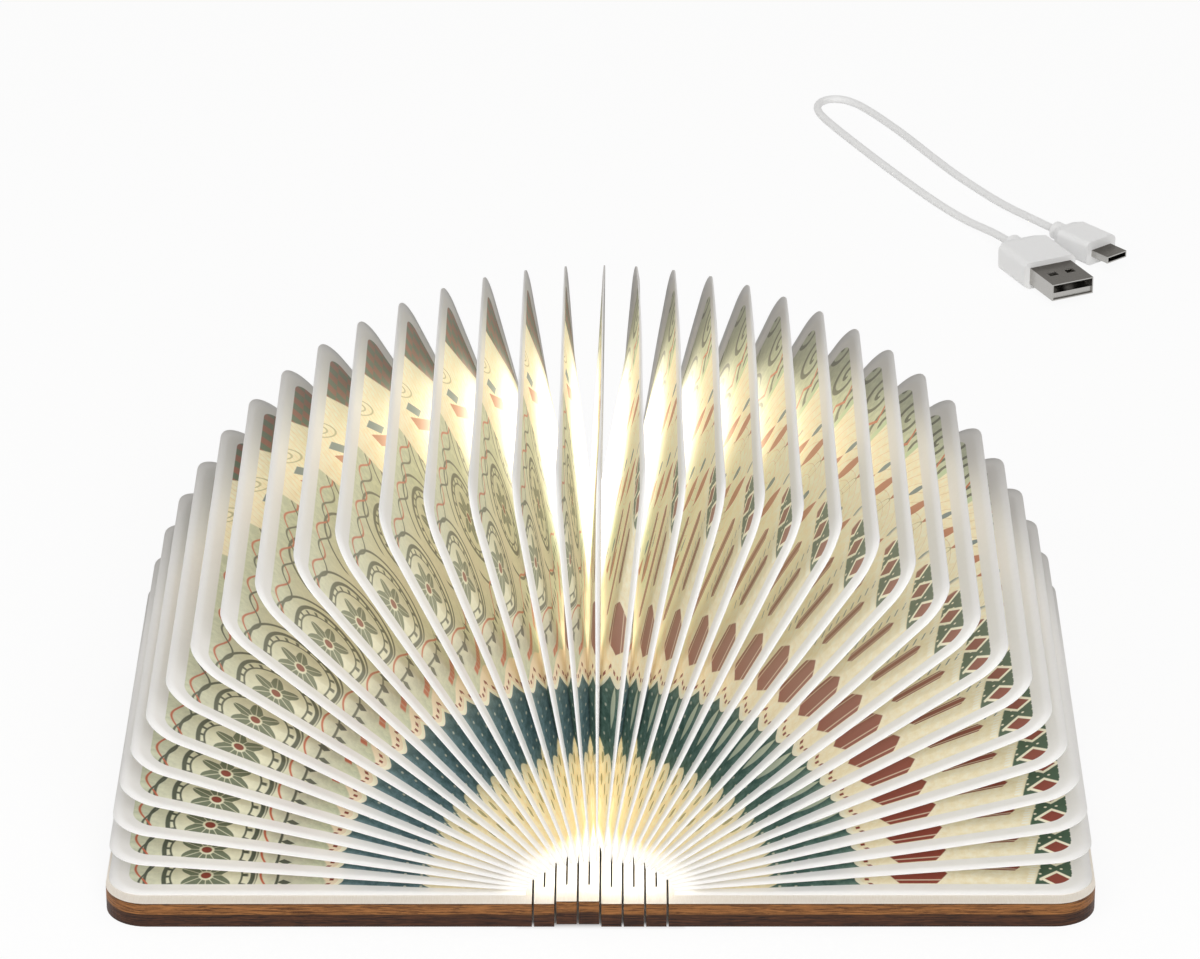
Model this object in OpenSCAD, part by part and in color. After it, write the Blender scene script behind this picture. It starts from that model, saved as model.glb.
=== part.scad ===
// Folding book lamp: two wooden covers joined by a slit, bending spine,
// with a lit fan of folded paper pages between them and a short charging cable beside it.
// X runs across the open book, Y from the near edge to the far edge, Z up.
// The origin is under the middle of the spine, on the table.

/* [Covers] */
// Width of one cover, from the spine to its outer edge
cover_w = 90; // [70:1:110]
// Height of the book, along the spine
cover_h = 122; // [100:1:150]
// Thickness of the wooden board
board_t = 5.5; // [4:0.1:7]
// Radius of the covers' outer corners
cover_corner_r = 9; // [4:0.5:14]
// Diameter of a closing magnet
magnet_d = 6; // [4:0.5:8]
// Thickness of a closing magnet
magnet_t = 2; // [1:0.1:3]
// Distance from a magnet's centre to the cover's outer edge
magnet_inset = 9; // [6:0.5:14]
// Distance from a magnet's centre to the cover's near or far edge
magnet_edge = 20; // [12:1:40]

/* [Spine] */
// Number of bending strips in the spine
strip_count = 6; // [6:2:6]
// Distance from one through cut to the next
strip_pitch = 4.7; // [4:0.1:6]
// Width of a laser cut
kerf = 0.45; // [0.3:0.05:0.6]
// Width of the short slits inside a strip
slit_w = 0.4; // [0.3:0.05:0.8]
// Length of wood left between slits and at a strip's ends
slit_bridge = 7; // [4:0.5:10]
// Number of slits along a strip
slit_count = 3; // [1:1:5]
// How far the second and third strips stand up
strip_lift = 0.6; // [0:0.1:0.6]

/* [Pages] */
// How much longer a cover is than a page
page_setback = 2; // [2:0.5:8]
// How much a cover stands out past a page's near and far ends
page_inset = 3.5; // [3:0.5:8]
// Thickness of a page's glued rim
page_t = 0.3; // [0.2:0.05:0.4]
// Width of the white glued rim
rim_w = 4.2; // [2:0.2:8]
// Radius of a page's outer corners
page_corner_r = 8; // [4:0.5:14]
// Depth of the folds at the near and far ends
gable_depth = 11; // [6:0.5:16]
// Depth of the folds between pages, from the rim inwards
valley_depth = 43.8; // [20:1:60]
// Radius of the valley's corners
valley_corner_r = 6; // [3:0.5:10]
// Thickness of the printed paper
paper_t = 0.12; // [0.08:0.01:0.2]
// How far the arch of page roots reaches past the spine on each side
root_overlap = 1.5; // [0.5:0.1:2]
// Rise of the arch of page roots
root_rise = 8; // [7.5:0.1:9]
// Lean of the whole fan to the right, in degrees
lean_angle = 1.8; // [0:0.1:2]
// How much the pages crowd at a third and open at the edges, in degrees
gather_angle = 1.2; // [0:0.1:1.5]
// How much the pages crowd in quarters, in degrees
ripple_angle = 1.6; // [0:0.1:2]

/* [Light bar] */
// Distance from the light bar to the edges of the two middle strips
bar_margin = 0.1; // [0.1:0.1:0.6]
// Length of the light bar
bar_l = 76; // [60:1:90]
// Height of the tray's walls
tray_h = 3.8; // [3.6:0.1:4]
// Thickness of the tray's walls
tray_wall = 0.7; // [0.5:0.1:0.9]
// Thickness of the tray's floor
tray_floor = 0.5; // [0.4:0.1:0.6]
// Length of the battery cell
battery_l = 42; // [30:1:44]
// Thickness of the battery cell
battery_t = 2.5; // [2:0.1:2.6]
// Thickness of the boards
pcb_t = 0.6; // [0.4:0.1:0.8]
// Number of light-emitting chips
led_count = 12; // [6:1:16]
// Side of a light-emitting chip
led_w = 2; // [1.6:0.1:2.8]
// Height of a light-emitting chip
led_t = 0.5; // [0.4:0.05:0.7]
// Rise of the frosted cover over the tray
diffuser_rise = 1.4; // [1.3:0.1:1.5]
// Wall of the frosted cover
diffuser_wall = 0.5; // [0.4:0.05:0.6]

/* [Charging cable] */
// Diameter of the cable
cable_d = 2.1; // [1.8:0.1:2.5]
// Width of the large plug's moulded grip
usb_a_w = 15; // [14:0.5:16]
// Thickness of the large plug's moulded grip
usb_a_t = 7.4; // [7:0.2:9]
// Length of the large plug's moulded grip
usb_a_l = 20; // [16:1:26]
// Width of the small plug's moulded grip
micro_w = 10.4; // [9:0.2:11]
// Thickness of the small plug's moulded grip
micro_t = 6.6; // [6:0.2:8]
// Length of the small plug's moulded grip
micro_l = 17; // [14:1:20]

/* [Hidden] */
page_count = 36;
left_pages = 18;
page_names = [for (i = [1:page_count]) str("page_", i < 10 ? "0" : "", i)];
strip_names = [for (i = [1:strip_count]) str("hinge_strip_", i)];

corner_steps = 6;
cover_steps = 12;
spine_half = strip_count * strip_pitch / 2;
strip_l = cover_h;
slit_l = (strip_l - (slit_count + 1) * slit_bridge) / slit_count;
page_l = cover_w - page_setback;
page_h = cover_h - 2 * page_inset;
root_half_w = spine_half + root_overlap;
valley_r = page_l - rim_w - valley_depth;
bar_w = 2 * strip_pitch - 2 * bar_margin;
page_z = board_t + page_t / 2;
fold_clear = 0.02;
bar_seat = board_t + strip_lift;
tray_top = bar_seat + tray_h;
led_board_z = tray_top - pcb_t;
socket_w = 7.4;
socket_l = 5.4;
socket_h = 2.4;
socket_wall = 0.3;
usb_a_shell_w = 12;
usb_a_shell_t = 4.5;
usb_a_shell_l = 12;
micro_shell_w = 6.85;
micro_shell_t = 1.8;
micro_shell_l = 6;
shell_wall = 0.3;
usb_a_at = [107, 285];
usb_a_angle = -64.5;
micro_at = [119, 295];
micro_angle = -50;

// Points of the cable on the table, from the large plug round the far bend to the small plug
cable_low = cable_d / 2 + 0.02;
cable_route = [
    [107, 285, usb_a_t / 2], [103.6, 292.1, 3.3], [99.6, 299.6, 2], [95, 307.4, 1.2],
    [90, 316, cable_low], [85, 325.3, cable_low], [80, 335.2, cable_low], [75, 345.4, cable_low],
    [70, 356, cable_low], [65.6, 365.5, cable_low], [61.8, 374, cable_low], [59, 381, cable_low],
    [58.4, 386.6, cable_low], [60.6, 391, cable_low], [65, 392, cable_low], [69.4, 388.8, cable_low],
    [73.4, 382.4, cable_low], [78.4, 373, cable_low], [82.6, 364.4, cable_low], [86.8, 355, cable_low],
    [91, 345.6, cable_low], [95.2, 336.8, cable_low], [99.6, 328.8, cable_low], [104, 321, cable_low],
    [108.2, 313.6, 1.4], [112.6, 305.4, 2.5], [119, 295, micro_t / 2]];

// Direction of page i, in degrees from -X over the top to +X
function fan(i) =
    let (u = 180 * i / (page_count - 1))
    u + lean_angle * sin(u) - gather_angle * sin(3 * u) - ripple_angle * sin(4 * u);
// Roots are spread evenly round a flat arch
function root_turn(i) = i == 0 ? 0 : i == page_count - 1 ? 180 : 180 * (i + 0.5) / page_count;
function root_x(i) = -root_half_w * cos(root_turn(i));
function root_z(i) = page_z + root_rise * sin(root_turn(i));
// A point r out from a root, in direction a, off the page's plane by n
function out(x, z, a, r, y, n) =
    [x - r * cos(a) + n * sin(a), y, z + r * sin(a) + n * cos(a)];

// A U line through both ends and the outer edge, in page coordinates: [distance from root, height]
function u_line(len, half, rad, steps) = concat(
    [[0, -half]],
    [for (k = [0:steps]) [len - rad + rad * sin(90 * k / steps), -half + rad - rad * cos(90 * k / steps)]],
    [for (k = [0:steps]) [len - rad + rad * cos(90 * k / steps), half - rad + rad * sin(90 * k / steps)]],
    [[0, half]]);
function flip(list) = [for (k = [len(list) - 1:-1:0]) list[k]];

module page(i) {
    outer = u_line(page_l, page_h / 2, page_corner_r, corner_steps);
    inner = u_line(page_l - rim_w, page_h / 2 - rim_w, page_corner_r - rim_w / 2, corner_steps);
    color("white")
        translate([root_x(i), 0, root_z(i)])
            rotate([0, 180 + fan(i), 0])
                translate([0, 0, -page_t / 2])
                    linear_extrude(page_t) polygon(concat(outer, flip(inner)));
}

// One folded sheet between page i and the next, as a thin V that runs round the two pages' rims
module fold_sheet(i) {
    steps = 3;
    rim = u_line(page_l - rim_w - fold_clear, page_h / 2 - rim_w - fold_clear,
        page_corner_r - rim_w / 2, steps);
    valley = u_line(valley_r, page_h / 2 - gable_depth, valley_corner_r, steps);
    under = u_line(valley_r - 2 * paper_t, page_h / 2 - gable_depth - 2 * paper_t,
        valley_corner_r, steps);
    mid_x = (root_x(i) + root_x(i + 1)) / 2;
    mid_z = (root_z(i) + root_z(i + 1)) / 2;
    mid_a = (fan(i) + fan(i + 1)) / 2;
    face = page_t / 2;
    count = len(rim);
    points = [for (k = [0:count - 1]) each [
        out(root_x(i), root_z(i), fan(i), rim[k][0], rim[k][1], face),
        out(mid_x, mid_z, mid_a, valley[k][0], valley[k][1], 0),
        out(root_x(i + 1), root_z(i + 1), fan(i + 1), rim[k][0], rim[k][1], -face),
        out(root_x(i + 1), root_z(i + 1), fan(i + 1), rim[k][0], rim[k][1], -face + paper_t),
        out(mid_x, mid_z, mid_a, under[k][0], under[k][1], 0),
        out(root_x(i), root_z(i), fan(i), rim[k][0], rim[k][1], face - paper_t)]];
    // The paper's two sides are split along the same diagonals, so they never cross
    skin = [for (k = [0:count - 2], s = [0:5]) each
        let (a = 6 * k + s, b = 6 * k + (s + 1) % 6, c = 6 * k + 6 + (s + 1) % 6, d = 6 * k + 6 + s)
        s < 3 ? [[a, b, c], [a, c, d]] : [[a, b, d], [b, c, d]]];
    e = 6 * (count - 1);
    ends = [[0, 5, 4], [0, 4, 1], [1, 4, 3], [1, 3, 2],
        [e, e + 4, e + 5], [e, e + 1, e + 4], [e + 1, e + 3, e + 4], [e + 1, e + 2, e + 3]];
    polyhedron(points, concat(skin, ends));
}

module bellows(first, last) {
    color([0.93, 0.88, 0.70])
        for (i = [first:last]) fold_sheet(i);
}

// A cover lies on its outer face, with its spine edge at x = 0 and its outer edge at x = cover_w
function cover_outline() = let (half = cover_h / 2, r = cover_corner_r) concat(
    [[0, -half]],
    [for (k = [0:cover_steps]) let (a = 90 * k / cover_steps)
        [cover_w - r + r * sin(a), -half + r - r * cos(a)]],
    [for (k = [0:cover_steps]) let (a = 90 * k / cover_steps)
        [cover_w - r + r * cos(a), half - r + r * sin(a)]],
    [[0, half]]);

module magnet_places() {
    for (s = [-1, 1])
        translate([cover_w - magnet_inset, s * (cover_h / 2 - magnet_edge), board_t - magnet_t])
            children();
}

module cover() {
    color([0.62, 0.38, 0.20])
        difference() {
            translate([kerf / 2, 0, 0])
                linear_extrude(board_t)
                    polygon([for (p = cover_outline()) [max(0, p[0] - kerf / 2), p[1]]]);
            magnet_places() cylinder(h = magnet_t + 1, d = magnet_d, $fn = 48);
        }
}

module magnets() {
    color("silver")
        magnet_places() cylinder(h = magnet_t, d = magnet_d, $fn = 48);
}

module right_side() translate([spine_half, 0, 0]) children();
module left_side() mirror([1, 0, 0]) right_side() children();

// A strip of the spine, with its row of short slits
module hinge_strip(i) {
    w = strip_pitch - kerf;
    lift = (i == 2 || i == 3) ? strip_lift : 0;
    color([0.62, 0.38, 0.20])
        translate([-spine_half + (i - 0.5) * strip_pitch, 0, lift])
            difference() {
                translate([-w / 2, -strip_l / 2, 0]) cube([w, strip_l, board_t]);
                for (k = [0:slit_count - 1])
                    translate([-slit_w / 2, -strip_l / 2 + slit_bridge + k * (slit_l + slit_bridge), -1])
                        cube([slit_w, slit_l, board_t + 2]);
            }
}

module box(w, l, h) translate([-w / 2, -l / 2, 0]) cube([w, l, h]);

socket_y = bar_l / 2 - socket_l;
board_floor = bar_seat + tray_floor;
inner_w = bar_w - 2 * tray_wall;
inner_l = bar_l - 2 * tray_wall;
fit = 0.1;

module light_bar_tray() {
    color("white")
        difference() {
            translate([0, 0, bar_seat]) box(bar_w, bar_l, tray_h);
            translate([0, 0, board_floor]) box(inner_w, inner_l, tray_h);
            translate([-socket_w / 2 - fit, socket_y, board_floor + pcb_t - fit])
                cube([socket_w + 2 * fit, socket_l + 1, tray_h]);
        }
}

module battery_cell() {
    color("silver")
        translate([0, -inner_l / 2 + battery_l / 2 + fit, board_floor])
            box(inner_w - 4 * fit, battery_l, battery_t);
}

control_l = inner_l - battery_l - 3;

module control_board() {
    chip_l = 4;
    chip_t = 1;
    color("green")
        translate([0, inner_l / 2 - control_l / 2 - fit, board_floor]) {
            box(inner_w - 2 * fit, control_l, pcb_t);
            translate([0, -control_l / 4, pcb_t]) box(chip_l, chip_l, chip_t);
        }
}

led_board_l = inner_l - socket_l - 2;

module led_board() {
    color("white")
        translate([0, -inner_l / 2 + led_board_l / 2 + fit, led_board_z])
            box(inner_w - 2 * fit, led_board_l, pcb_t);
}

module led_chips() {
    step = led_board_l / led_count;
    color("khaki")
        for (k = [0:led_count - 1])
            translate([0, -inner_l / 2 + fit + (k + 0.5) * step, tray_top])
                box(led_w, led_w, led_t);
}

// A frosted cover with a crowned top, open underneath
module diffuser() {
    crown = 0.5;
    edge = diffuser_rise - crown;
    module profile(grow) {
        half = bar_w / 2 - grow;
        polygon([[-half, -1], [-half, edge - grow], [-half * 0.6, diffuser_rise - grow],
            [half * 0.6, diffuser_rise - grow], [half, edge - grow], [half, -1]]);
    }
    color("white")
        translate([0, 0, tray_top])
            intersection() {
                difference() {
                    rotate([90, 0, 0])
                        translate([0, 0, -bar_l / 2]) linear_extrude(bar_l) profile(0);
                    rotate([90, 0, 0])
                        translate([0, 0, -bar_l / 2 + diffuser_wall])
                            linear_extrude(bar_l - 2 * diffuser_wall) profile(diffuser_wall);
                }
                box(bar_w, bar_l, diffuser_rise);
            }
}

// A metal socket lying on the control board, open towards the far edge
module charging_socket() {
    color("silver")
        translate([0, socket_y + socket_l / 2, board_floor + pcb_t])
            difference() {
                box(socket_w, socket_l, socket_h);
                translate([0, socket_wall, socket_wall])
                    box(socket_w - 2 * socket_wall, socket_l, socket_h - 2 * socket_wall);
            }
}

module plug_at(place, turn, height) {
    translate([place[0], place[1], height]) rotate([0, 0, turn]) children();
}

// A moulded grip along +X: a round collar at the cable, short shoulders, then a rounded block
module grip(w, t, l, collar_d) {
    collar_l = 3.6;
    shoulder_l = 2.2;
    r = 1.6;
    module block(bw, bt, bl) {
        rotate([90, 0, 90])
            linear_extrude(bl)
                offset(r, $fn = 24) square([bw - 2 * r, bt - 2 * r], center = true);
    }
    color("white") {
        rotate([0, 90, 0]) cylinder(h = collar_l + 0.5, d = collar_d, $fn = 24);
        hull() {
            translate([collar_l, 0, 0]) block(w * 0.78, t * 0.84, 0.01);
            translate([collar_l + shoulder_l, 0, 0]) block(w, t, 0.01);
        }
        translate([collar_l + shoulder_l, 0, 0]) block(w, t, l - collar_l - shoulder_l);
    }
}

module shell(w, t, l) {
    color("silver")
        difference() {
            translate([0, -w / 2, -t / 2]) cube([l, w, t]);
            translate([1, -w / 2 + shell_wall, -t / 2 + shell_wall])
                cube([l, w - 2 * shell_wall, t - 2 * shell_wall]);
        }
}

module usb_a_grip() plug_at(usb_a_at, usb_a_angle, usb_a_t / 2) grip(usb_a_w, usb_a_t, usb_a_l, cable_d + 3.1);

// The thin plate inside holds the contacts, and the socket's springs snap into the windows
module usb_a_shell() {
    window_w = 2.5;
    window_l = 2.2;
    window_apart = 5;
    window_back = 4.6;
    tongue_t = 1.6;
    plug_at(usb_a_at, usb_a_angle, usb_a_t / 2) translate([usb_a_l, 0, 0]) {
        difference() {
            shell(usb_a_shell_w, usb_a_shell_t, usb_a_shell_l);
            for (s = [-1, 1])
                translate([window_back, s * window_apart / 2 - window_w / 2, -usb_a_shell_t])
                    cube([window_l, window_w, 2 * usb_a_shell_t]);
        }
        color("white")
            translate([0.5, -usb_a_shell_w / 2 + shell_wall, -usb_a_shell_t / 2 + shell_wall])
                cube([usb_a_shell_l - 1, usb_a_shell_w - 2 * shell_wall, tongue_t]);
    }
}

module micro_usb_grip() plug_at(micro_at, micro_angle, micro_t / 2) grip(micro_w, micro_t, micro_l, cable_d + 2.7);
module micro_usb_shell() {
    plug_at(micro_at, micro_angle, micro_t / 2)
        translate([micro_l, 0, 0]) shell(micro_shell_w, micro_shell_t, micro_shell_l);
}

// The cable is a tube swept along its route, with its end rings square to the plugs
function unit(v) = v / norm(v);
function aim(k) = k == 0 ? unit(cable_route[1] - cable_route[0])
    : k == len(cable_route) - 1 ? unit(cable_route[k] - cable_route[k - 1])
    : unit(cable_route[k + 1] - cable_route[k - 1]);

module charging_cable() {
    sides = 8;
    n = len(cable_route);
    rings = [for (k = [0:n - 1])
        let (f = aim(k), s = unit(cross(f, [0, 0, 1])), t = cross(s, f))
        for (j = [0:sides - 1])
            cable_route[k] + cable_d / 2 * (s * cos(360 * j / sides) + t * sin(360 * j / sides))];
    skin = [for (k = [0:n - 2], j = [0:sides - 1]) each
        let (a = k * sides + j, b = k * sides + (j + 1) % sides, c = b + sides, d = a + sides)
        [[a, c, b], [a, d, c]]];
    near_end = [for (j = [1:sides - 2]) [0, j, j + 1]];
    far_end = [for (j = [1:sides - 2]) [(n - 1) * sides, (n - 1) * sides + j + 1, (n - 1) * sides + j]];
    color("white") polyhedron(rings, concat(skin, near_end, far_end));
}

for (i = [0:page_count - 1])
    page(i);
for (i = [1:strip_count])
    hinge_strip(i);
left_side() cover();  // left_cover
right_side() cover();  // right_cover
left_side() magnets();  // magnets_left
right_side() magnets();  // magnets_right
bellows(0, left_pages - 1);  // bellows_left
bellows(left_pages, page_count - 2);  // bellows_right
light_bar_tray();
battery_cell();
control_board();
led_board();
led_chips();
diffuser();
charging_socket();
charging_cable();
usb_a_grip();
usb_a_shell();
micro_usb_grip();
micro_usb_shell();
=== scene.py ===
"""Dresses the folding book lamp: camera, cable, wooden covers and spine, the lit fan of printed pages."""
import bpy
import math
from mathutils import Matrix, Vector


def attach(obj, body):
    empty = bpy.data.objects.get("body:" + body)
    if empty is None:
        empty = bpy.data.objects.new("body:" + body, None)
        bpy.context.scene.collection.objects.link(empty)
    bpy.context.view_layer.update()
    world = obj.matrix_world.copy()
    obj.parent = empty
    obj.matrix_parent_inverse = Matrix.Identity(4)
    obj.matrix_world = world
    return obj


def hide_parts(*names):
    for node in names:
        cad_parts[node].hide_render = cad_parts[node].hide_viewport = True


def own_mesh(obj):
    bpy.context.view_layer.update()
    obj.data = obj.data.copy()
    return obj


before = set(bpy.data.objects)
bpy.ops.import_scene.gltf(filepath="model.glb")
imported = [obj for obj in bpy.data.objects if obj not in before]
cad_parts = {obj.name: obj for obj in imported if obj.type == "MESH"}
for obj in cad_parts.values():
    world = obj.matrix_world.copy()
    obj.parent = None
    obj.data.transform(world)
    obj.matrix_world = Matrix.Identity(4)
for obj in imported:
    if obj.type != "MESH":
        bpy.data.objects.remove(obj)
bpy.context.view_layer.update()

# Sizes in millimetres, the same as in the part's source
MM = 0.001
BOARD_T = 5.5
STRIP_PITCH = 4.7
STRIP_COUNT = 6
STRIP_LIFT = 0.6
RAISED_STRIPS = (2, 3)
COVER_H = 122
PAGE_COUNT = 36
LEFT_PAGES = 18
PAGE_L = 88
PAGE_H = 115
PAGE_T = 0.3
RIM_W = 4.2
PAGE_CORNER_R = 8
GABLE_DEPTH = 11
VALLEY_R = 40
VALLEY_CORNER_R = 6
ROOT_HALF_W = 15.6
ROOT_RISE = 8
FAN_LEAN = 1.8
FAN_GATHER = 1.2
FAN_RIPPLE = 1.6
CABLE_D = 2.1
CABLE_LOW = CABLE_D / 2 + 0.02
CABLE_ROUTE = [
    (107, 285, 3.7), (103.6, 292.1, 3.3), (99.6, 299.6, 2), (95, 307.4, 1.2),
    (90, 316, CABLE_LOW), (85, 325.3, CABLE_LOW), (80, 335.2, CABLE_LOW), (75, 345.4, CABLE_LOW),
    (70, 356, CABLE_LOW), (65.6, 365.5, CABLE_LOW), (61.8, 374, CABLE_LOW), (59, 381, CABLE_LOW),
    (58.4, 386.6, CABLE_LOW), (60.6, 391, CABLE_LOW), (65, 392, CABLE_LOW), (69.4, 388.8, CABLE_LOW),
    (73.4, 382.4, CABLE_LOW), (78.4, 373, CABLE_LOW), (82.6, 364.4, CABLE_LOW), (86.8, 355, CABLE_LOW),
    (91, 345.6, CABLE_LOW), (95.2, 336.8, CABLE_LOW), (99.6, 328.8, CABLE_LOW), (104, 321, CABLE_LOW),
    (108.2, 313.6, 1.4), (112.6, 305.4, 2.5), (119, 295, 3.3)]

# The page map stores reach and along as shares of these spans, so that both lie between 0 and 1
REACH_SPAN = 100
ALONG_SPAN = 150


def make_object(name, data):
    obj = bpy.data.objects.new(name, data)
    bpy.context.collection.objects.link(obj)
    return obj


# Node building
class Field:
    """One number at each point of a surface, made by the nodes of a tree."""

    def __init__(self, paint, socket):
        self.paint = paint
        self.socket = socket

    def made(self, operation, *others):
        node = self.paint.tree.nodes.new("ShaderNodeMath")
        node.operation = operation
        for slot, value in zip(node.inputs, (self, *others)):
            self.paint.feed(slot, value)
        return Field(self.paint, node.outputs[0])

    def __add__(self, other):
        return self.made("ADD", other)

    __radd__ = __add__

    def __sub__(self, other):
        return self.made("SUBTRACT", other)

    def __rsub__(self, other):
        return (self * -1) + other

    def __mul__(self, other):
        return self.made("MULTIPLY", other)

    __rmul__ = __mul__

    def __truediv__(self, other):
        return self.made("DIVIDE", other)

    def __rtruediv__(self, other):
        return (self ** -1.0) * other

    def __pow__(self, other):
        return self.made("POWER", other)

    def abs(self):
        return self.made("ABSOLUTE")

    def sin(self):
        return self.made("SINE")

    def cos(self):
        return self.made("COSINE")

    def frac(self):
        return self.made("FRACT")

    def root(self):
        return self.made("SQRT")

    def floor(self):
        return self.made("FLOOR")

    def least(self, other):
        return self.made("MINIMUM", other)

    def most(self, other):
        return self.made("MAXIMUM", other)

    def toward(self, other, share):
        """This field where share is 0, the other where it is 1."""
        return self + (other - self) * share

    def ramp(self, low, high, kind="SMOOTHSTEP"):
        """0 at low, 1 at high, smooth between; low may be the larger."""
        node = self.paint.tree.nodes.new("ShaderNodeMapRange")
        node.interpolation_type = kind
        flip = low > high
        self.paint.feed(node.inputs["Value"], self)
        node.inputs["From Min"].default_value = min(low, high)
        node.inputs["From Max"].default_value = max(low, high)
        node.inputs["To Min"].default_value = 1.0 if flip else 0.0
        node.inputs["To Max"].default_value = 0.0 if flip else 1.0
        return Field(self.paint, node.outputs["Result"])

    def below(self, edge, soft=0.12):
        """1 below the edge, 0 above it."""
        return self.ramp(edge + soft, edge - soft)


class NodeWork:
    """A node tree and the helpers that materials and shapes share."""

    def feed(self, slot, value):
        """Gives an input a field, a socket or a plain value."""
        if isinstance(value, Field):
            self.tree.links.new(value.socket, slot)
        elif hasattr(value, "is_linked"):
            self.tree.links.new(value, slot)
        elif value is not None:
            slot.default_value = value

    def joined(self, x, y, z=0.0):
        node = self.tree.nodes.new("ShaderNodeCombineXYZ")
        for slot, value in zip(node.inputs, (x, y, z)):
            self.feed(slot, value)
        return node.outputs[0]


class Paint(NodeWork):
    """One material, with a Principled shader and helpers that add nodes."""

    def __init__(self, name, roughness=0.6, color=(0.8, 0.8, 0.8), metallic=0.0):
        self.material = bpy.data.materials.new(name)
        self.material.use_nodes = True
        self.tree = self.material.node_tree
        self.tree.nodes.clear()
        self.shader = self.tree.nodes.new("ShaderNodeBsdfPrincipled")
        self.shader.inputs["Roughness"].default_value = roughness
        self.shader.inputs["Base Color"].default_value = (*color, 1)
        self.shader.inputs["Metallic"].default_value = metallic
        out = self.tree.nodes.new("ShaderNodeOutputMaterial")
        self.tree.links.new(self.shader.outputs[0], out.inputs["Surface"])
        self.coords = self.tree.nodes.new("ShaderNodeTexCoord")

    def split(self, socket):
        node = self.tree.nodes.new("ShaderNodeSeparateXYZ")
        self.tree.links.new(socket, node.inputs[0])
        return [Field(self, out) for out in node.outputs]

    def place(self):
        """Object coordinates in millimetres, as three fields."""
        return [axis / MM for axis in self.split(self.coords.outputs["Object"])]

    def facing(self):
        return self.split(self.coords.outputs["Normal"])

    def page_place(self, name):
        """Distance from the root and place along the spine, in millimetres."""
        node = self.tree.nodes.new("ShaderNodeUVMap")
        node.uv_map = name
        u, v, _ = self.split(node.outputs[0])
        return u * REACH_SPAN, (v - 0.5) * ALONG_SPAN

    def noise(self, where, scale, detail=3.0, roughness=0.5, distortion=0.0):
        node = self.tree.nodes.new("ShaderNodeTexNoise")
        self.tree.links.new(where, node.inputs["Vector"])
        node.inputs["Scale"].default_value = scale
        node.inputs["Detail"].default_value = detail
        node.inputs["Roughness"].default_value = roughness
        node.inputs["Distortion"].default_value = distortion
        return Field(self, node.outputs[0])

    def wave(self, where, scale, distortion, detail=2.0):
        node = self.tree.nodes.new("ShaderNodeTexWave")
        self.tree.links.new(where, node.inputs["Vector"])
        node.inputs["Scale"].default_value = scale
        node.inputs["Distortion"].default_value = distortion
        node.inputs["Detail"].default_value = detail
        return Field(self, node.outputs[1])

    def mixed(self, amount, first, second):
        """Colour first where amount is 0 and second where it is 1."""
        node = self.tree.nodes.new("ShaderNodeMix")
        node.data_type = "RGBA"
        self.feed(node.inputs["Factor"], amount)
        for slot, value in ((node.inputs[6], first), (node.inputs[7], second)):
            if isinstance(value, tuple):
                slot.default_value = (*value, 1)
            else:
                self.tree.links.new(value, slot)
        return node.outputs[2]

    def tinted(self, color, tint):
        node = self.tree.nodes.new("ShaderNodeMix")
        node.data_type = "RGBA"
        node.blend_type = "MULTIPLY"
        node.inputs["Factor"].default_value = 1.0
        self.tree.links.new(color, node.inputs[6])
        node.inputs[7].default_value = (*tint, 1)
        return node.outputs[2]

    def use_color(self, socket):
        self.tree.links.new(socket, self.shader.inputs["Base Color"])

    def use_bump(self, height, distance, strength=1.0):
        node = self.tree.nodes.new("ShaderNodeBump")
        node.inputs["Distance"].default_value = distance
        node.inputs["Strength"].default_value = strength
        self.feed(node.inputs["Height"], height)
        self.tree.links.new(node.outputs[0], self.shader.inputs["Normal"])

    def use_roughness(self, field):
        self.feed(self.shader.inputs["Roughness"], field)

    def use_glow(self, color, strength):
        if isinstance(color, tuple):
            self.shader.inputs["Emission Color"].default_value = (*color, 1)
        else:
            self.tree.links.new(color, self.shader.inputs["Emission Color"])
        self.feed(self.shader.inputs["Emission Strength"], strength)


# Camera, floor and light
CAMERA_PLACE = (5.6, -1111.8, 618.6)
CAMERA_TURNS = (26.08, -0.294, -0.162)      # pitch down, yaw and roll, in degrees
FOCAL_PX = 5805
IMAGE_W = 1200
SENSOR_W = 36
FLOOR_HALF = 4.0
FLOOR_DROP = 0.0001
FLOOR_GREY = (0.86, 0.86, 0.86, 1)
WHITE = (1, 1, 1, 1)
FLOOR_WHITENESS = 1.02
WHITE_SHARE = 0.88
SOFT_WHITE = (1, 0.99, 0.97, 1)
SOFT_STRENGTH = 0.45
LAMP_AIM = (0, 0, 0.04)
# Name, place, size and power
LAMPS = (("key_light", (0.3, -1.3, 0.8), 0.6, 10.5),
         ("fill_light", (-0.8, -0.9, 0.7), 0.8, 4),
         ("top_light", (0.0, 0.2, 1.4), 0.8, 2))


def make_camera():
    place = Vector(CAMERA_PLACE) * MM
    pitch, yaw, roll = (math.radians(turn) for turn in CAMERA_TURNS)
    forward = Vector((math.sin(yaw) * math.cos(pitch), math.cos(yaw) * math.cos(pitch), -math.sin(pitch)))
    right = Vector((math.cos(yaw), -math.sin(yaw), 0))
    up = right.cross(forward)
    turned_right = right * math.cos(roll) + up * math.sin(roll)
    turned_up = up * math.cos(roll) - right * math.sin(roll)
    camera = make_object("camera", bpy.data.cameras.new("camera"))
    camera.matrix_world = Matrix((
        (turned_right.x, turned_up.x, -forward.x, place.x),
        (turned_right.y, turned_up.y, -forward.y, place.y),
        (turned_right.z, turned_up.z, -forward.z, place.z),
        (0, 0, 0, 1)))
    camera.data.sensor_width = SENSOR_W
    camera.data.lens = FOCAL_PX / IMAGE_W * SENSOR_W
    camera.data.clip_end = 20
    bpy.context.scene.camera = camera


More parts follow.
